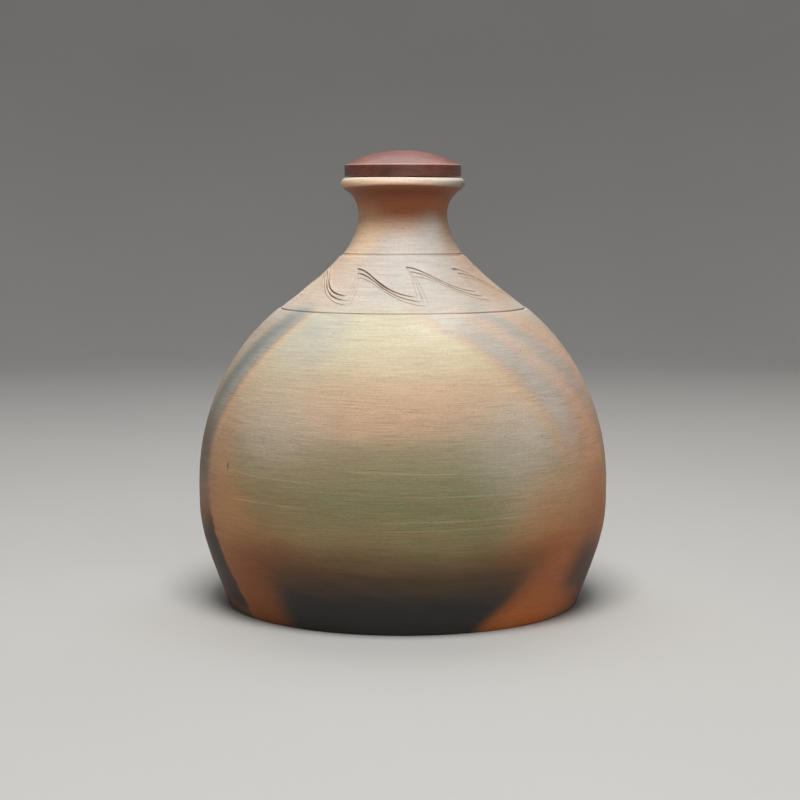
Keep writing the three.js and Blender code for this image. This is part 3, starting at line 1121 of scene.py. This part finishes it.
def lid_wood():
    """Dark red-brown hardwood under a thin satin finish, its grain across the lid."""
    f = Finish("lid_wood")
    sway = f.noise(0.05, detail=2, shift=1.0)
    grain = f.noise((0.05, 0.75, 0.75), detail=4, rough=0.6, shift=4.0, twist=0.5)
    fibre = f.noise((0.16, 5.0, 5.0), detail=3, rough=0.6, shift=8.0)
    pores = f.step(0.42, 0.7, f.noise((0.3, 4.2, 4.2), detail=1, shift=13.0))
    colour = f.ramp(
        grain + sway * 0.5,
        [
            (-1, paint(66, 32, 26)),
            (-0.25, paint(96, 50, 40)),
            (0.35, paint(128, 71, 56)),
            (1, paint(84, 42, 34)),
        ],
    )
    # the side band is painted darker than the dome: painted shade on the side, with the dome left lighter as
    # painted reflection of the light above
    band = f.step(LID_BAND_TOP - 0.1, LID_BAND_TOP - 0.5, f.z)
    colour = f.brighten(colour, 1.16 + fibre * 0.18 + grain * 0.06 - band * 0.36)
    colour = f.mix(colour, paint(52, 24, 20), pores * 0.5)
    # painted highlight: pale glints along the edge between the band and the dome
    painted_edge_glint = f.step(0.45, 0.1, (f.z - LID_BAND_TOP).size()) * f.step(LID_RADIUS - 0.6, LID_RADIUS, f.radius())
    colour = f.mix(colour, paint(206, 156, 142), painted_edge_glint * 0.75)
    rough = 0.46 + fibre * 0.06 + pores * 0.2 + sway * 0.05
    turned = f.noise((0.05, 0.05, 2.5), detail=2, shift=3.0)
    height = fibre * 0.006 - pores * 0.02 + turned * 0.006
    return f.finish(colour, rough, height, Coat_Weight=0.5, Coat_Roughness=0.36)


def pale_wood(name, light, dark, shift):
    """Plain pale wood with its grain along the axis."""
    f = Finish(name)
    sway = f.noise((0.08, 0.08, 0.02), detail=2, shift=shift)
    rings = f.x.maths("SINE", (f.x + f.y * 0.3 + sway * 5) * 2.4)
    fibre = f.noise((4.0, 4.0, 0.14), detail=3, rough=0.6, shift=shift + 2)
    pores = f.step(0.45, 0.75, f.noise((3.2, 3.2, 0.2), detail=1, shift=shift + 5))
    colour = f.mix(light, dark, f.step(-0.6, 1.2, rings) * 0.5)
    colour = f.brighten(colour, 1 + fibre * 0.12)
    colour = f.mix(colour, dark, pores * 0.45)
    rough = 0.58 + fibre * 0.08 + pores * 0.12
    return f.finish(colour, rough, fibre * 0.015 - pores * 0.03)


def silicone():
    """Milky silicone with a fine moulded skin and a little dust."""
    f = Finish("seal_silicone")
    skin = f.noise(3.0, detail=3, shift=6.0)
    dust = f.step(0.1, 0.8, f.noise(0.35, detail=3, shift=2.0))
    colour = f.mix(paint(214, 208, 196), paint(188, 178, 160), dust)
    rough = 0.42 + skin * 0.05 + dust * 0.14
    return f.finish(colour, rough, skin * 0.006, Subsurface_Weight=0.15, Subsurface_Scale=0.002)


# ======================================================================== pieces
def place(piece, body, node, slot, material):
    """Hangs a piece on its body in its CAD node's stead, in its finish."""
    piece.data.materials.append(material)
    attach(piece, body)
    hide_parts(node)


place(make_bottle(), "bottle", "bottle_body", "stoneware", stoneware())
place(make_lid(), "lid", "lid_cap", "lid_wood", lid_wood())
place(
    make_plug(),
    "lid",
    "stopper_plug",
    "plug_wood",
    pale_wood("plug_wood", paint(196, 164, 122), paint(150, 112, 72), 3.0),
)
place(
    make_dowel(),
    "lid",
    "stopper_dowel",
    "dowel_wood",
    pale_wood("dowel_wood", paint(206, 182, 144), paint(170, 138, 98), 12.0),
)
rubber = silicone()
for ring_node in RING_NODES:
    ring = make_ring(ring_node.replace("seal_ring", "ring"), *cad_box(ring_node))
    place(ring, "lid", ring_node, "seal_silicone", rubber)


# ======================================================================== studio
def floor_material():
    f = Finish("floor")
    mottle = f.noise(0.004, detail=2, shift=1.0)
    fine = f.noise(0.5, detail=2, shift=5.0)
    colour = f.brighten(f.mix(paint(214, 212, 208), paint(206, 205, 203), f.step(-1, 1, mottle)), 0.72)
    return f.finish(colour, 0.82 + fine * 0.03, fine * 0.01)


def make_floor():
    """A pale floor that curves up into a pale wall all round."""
    radius, height, fillet = 1800, 2200, 700
    bend = arc((radius - fillet, fillet), fillet, -90, 0, 14)
    outline = np.concatenate([[(0, 0), (250, 0), (600, 0)], bend, [(radius, height)]])
    theta = np.linspace(-np.pi, np.pi, 96, endpoint=False)
    r, a = np.meshgrid(outline[1:, 0], theta, indexing="ij")
    z, _ = np.meshgrid(outline[1:, 1], theta, indexing="ij")
    points = np.stack([r * np.sin(a), -r * np.cos(a), z], -1).reshape(-1, 3)
    faces = [tuple(int(v) for v in quad[::-1]) for quad in grid(len(outline) - 1, 96)]
    faces += [(len(points), j, (j + 1) % 96) for j in range(96)]
    floor = make_mesh("floor", np.concatenate([points, [(0, 0, 0)]]), faces)
    floor.data.materials.append(floor_material())


def soft_light(name, at, aim, size, power, colour):
    data = bpy.data.lights.new(name, "AREA")
    data.shape = "RECTANGLE"
    data.size, data.size_y = size
    data.energy = power
    data.color = colour
    light = bpy.data.objects.new(name, data)
    light.location = at
    light.rotation_euler = (Vector(aim) - Vector(at)).to_track_quat("-Z", "Y").to_euler()
    bpy.context.scene.collection.objects.link(light)


def make_camera():
    data = bpy.data.cameras.new("camera")
    data.sensor_width = 36
    data.lens = 85.7
    data.clip_start, data.clip_end = 0.01, 50
    eye = bpy.data.objects.new("camera", data)
    eye.location = (-0.00115, -0.7725, 0.1655)
    eye.rotation_euler = (math.radians(90 - 6.217), 0, 0)
    bpy.context.scene.collection.objects.link(eye)
    bpy.context.scene.camera = eye


make_floor()
soft_light("key", (0.0, -0.38, 1.02), (0, 0, 0.1), (0.5, 0.4), 11, (1.0, 0.99, 0.975))
soft_light("fill", (0.3, -1.45, 0.55), (0, 0, 0.08), (1.3, 0.9), 2.9, (0.98, 0.99, 1.0))
soft_light("top", (0.0, 0.5, 1.0), (0, 0, 0.15), (1.1, 0.6), 4.5, (1.0, 0.99, 0.98))
world = bpy.data.worlds.new("studio")
bpy.context.scene.world = world
world.use_nodes = True
backdrop = world.node_tree.nodes["Background"]
backdrop.inputs["Color"].default_value = (0.82, 0.87, 0.93, 1)
backdrop.inputs["Strength"].default_value = 0.18
bpy.context.scene.view_settings.view_transform = "Standard"
make_camera()
